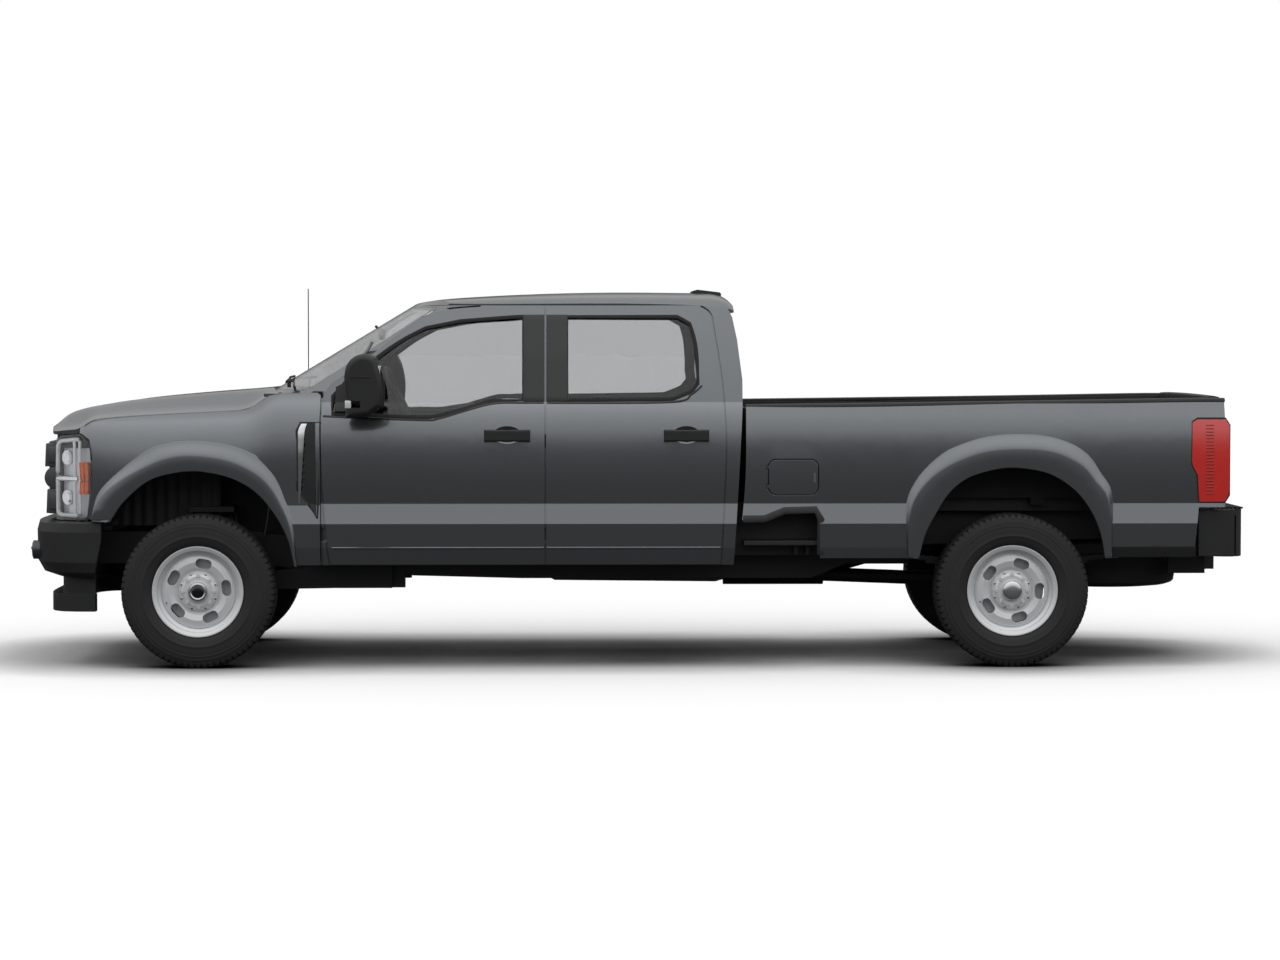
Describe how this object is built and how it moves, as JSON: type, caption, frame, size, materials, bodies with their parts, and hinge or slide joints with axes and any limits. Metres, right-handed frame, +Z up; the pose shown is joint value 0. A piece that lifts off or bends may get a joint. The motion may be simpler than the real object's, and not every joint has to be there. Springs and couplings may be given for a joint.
{
  "type": "pickup truck",
  "caption": "Crew-cab pickup truck with a long open bed, ladder frame, solid axles, leaf springs, tow mirrors and opening doors, hood, tailgate and fuel door.",
  "frame": {"origin": "on the ground under the middle of the whole length and width", "axes": "the truck faces -X, its driver sits on the -Y side and +Z is up"},
  "size_m": [6.7661, 2.676, 2.1051],
  "materials": {
    "tyre": "matte rubber",
    "wheel_steel": "silver satin",
    "chassis_black": "satin black",
    "cast_metal": "cast",
    "aluminium": "satin",
    "body_paint": "metallic gloss",
    "black_plastic": "grained",
    "grille_plastic": "gloss",
    "window_glass": "clear",
    "lamp_lens": "clear lens",
    "tail_lens": "red lens",
    "cabin_plastic": "grained",
    "seat_cloth": "woven",
    "bed_liner": "textured"
  },
  "bodies": {
    "body": {"antenna": "black_plastic", "bed_box": "bed_liner", "bed_sides": "body_paint", "bed_steps": "black_plastic", "cab_glass": "window_glass", "cab_shell": "body_paint", "coil_springs": "chassis_black", "cross_tubes": "chassis_black", "dashboard": "cabin_plastic", "driveline": "cast_metal", "engine_block": "cast_metal", "exhaust": "cast_metal", "fender_liners": "black_plastic", "fender_vents": "black_plastic", "frame_rails": "chassis_black", "front_axle": "chassis_black", "front_bumper": "black_plastic", "front_fenders": "body_paint", "fuel_tank": "black_plastic", "grille": "grille_plastic", "headlamps": "lamp_lens", "leaf_springs": "chassis_black", "radiator": "aluminium", "radiator_support": "chassis_black", "rear_axle": "chassis_black", "rear_bumper": "black_plastic", "receiver": "chassis_black", "roof_panel": "body_paint", "seats": "seat_cloth", "shock_absorbers": "chassis_black", "spare_wheel": "tyre", "steering_wheel": "cabin_plastic", "stop_lamp": "tail_lens", "taillamps": "tail_lens"},
    "wheel_front_left": {"tyre_front_left": "tyre", "rim_front_left": "wheel_steel"},
    "door_front_left": {"door_front_left": "body_paint", "glass_front_left": "window_glass", "handle_front_left": "black_plastic"},
    "wheel_rear_left": {"tyre_rear_left": "tyre", "rim_rear_left": "wheel_steel"},
    "door_rear_left": {"door_rear_left": "body_paint", "glass_rear_left": "window_glass", "handle_rear_left": "black_plastic"},
    "knuckle_left": {"knuckle_left": "cast_metal"},
    "wheel_front_right": {"tyre_front_right": "tyre", "rim_front_right": "wheel_steel"},
    "door_front_right": {"door_front_right": "body_paint", "glass_front_right": "window_glass", "handle_front_right": "black_plastic"},
    "wheel_rear_right": {"tyre_rear_right": "tyre", "rim_rear_right": "wheel_steel"},
    "door_rear_right": {"door_rear_right": "body_paint", "glass_rear_right": "window_glass", "handle_rear_right": "black_plastic"},
    "knuckle_right": {"knuckle_right": "cast_metal"},
    "tie_rod": {"tie_rod": "chassis_black"},
    "hood": {"hood": "body_paint"},
    "tailgate": {"tailgate": "body_paint"},
    "fuel_door": {"fuel_door": "body_paint"}
  },
  "joints": [
    {"name": "steer_left", "type": "hinge", "parent": "body", "child": "knuckle_left", "pos_m": [-2.4, -0.772, 0.421], "axis": [0, 0, 1], "range_deg": [-35, 35]},
    {"name": "steer_right", "type": "hinge", "parent": "body", "child": "knuckle_right", "pos_m": [-2.4, 0.772, 0.421], "axis": [0, 0, 1], "range_deg": [-35, 35]},
    {"name": "tie_rod_pivot", "type": "hinge", "parent": "knuckle_left", "child": "tie_rod", "pos_m": [-2.565, -0.772, 0.408], "axis": [0, 0, 1], "range_deg": [-35, 35]},
    {"name": "wheel_front_left_spin", "type": "hinge", "parent": "knuckle_left", "child": "wheel_front_left", "pos_m": [-2.4, -0.8675, 0.421], "axis": [0, 1, 0], "continuous": true},
    {"name": "wheel_rear_left_spin", "type": "hinge", "parent": "body", "child": "wheel_rear_left", "pos_m": [2.07, -0.8535, 0.421], "axis": [0, 1, 0], "continuous": true},
    {"name": "wheel_front_right_spin", "type": "hinge", "parent": "knuckle_right", "child": "wheel_front_right", "pos_m": [-2.4, 0.8675, 0.421], "axis": [0, 1, 0], "continuous": true},
    {"name": "wheel_rear_right_spin", "type": "hinge", "parent": "body", "child": "wheel_rear_right", "pos_m": [2.07, 0.8535, 0.421], "axis": [0, 1, 0], "continuous": true},
    {"name": "door_front_left_hinge", "type": "hinge", "parent": "body", "child": "door_front_left", "pos_m": [-1.793, -0.9641, 0.9884], "axis": [0, 0, -1], "range_deg": [0, 56]},
    {"name": "door_rear_left_hinge", "type": "hinge", "parent": "body", "child": "door_rear_left", "pos_m": [-0.562, -0.9641, 0.9884], "axis": [0, 0, -1], "range_deg": [0, 60]},
    {"name": "door_front_right_hinge", "type": "hinge", "parent": "body", "child": "door_front_right", "pos_m": [-1.793, 0.9641, 0.9884], "axis": [0, 0, 1], "range_deg": [0, 56]},
    {"name": "door_rear_right_hinge", "type": "hinge", "parent": "body", "child": "door_rear_right", "pos_m": [-0.562, 0.9641, 0.9884], "axis": [0, 0, 1], "range_deg": [0, 60]},
    {"name": "hood_hinge", "type": "hinge", "parent": "body", "child": "hood", "pos_m": [-1.9597, 0, 1.4987], "axis": [0, 1, 0], "range_deg": [0, 50]},
    {"name": "tailgate_hinge", "type": "hinge", "parent": "body", "child": "tailgate", "pos_m": [3.1956, 0, 0.964], "axis": [0, 1, 0], "range_deg": [0, 90]},
    {"name": "fuel_door_hinge", "type": "hinge", "parent": "body", "child": "fuel_door", "pos_m": [0.7192, -0.99, 1.0475], "axis": [0, 0, -1], "range_deg": [0, 90]}
  ],
  "couplings": [
    {"joint": "steer_right", "follows": "steer_left", "ratio": 1},
    {"joint": "tie_rod_pivot", "follows": "steer_left", "ratio": -1}
  ]
}
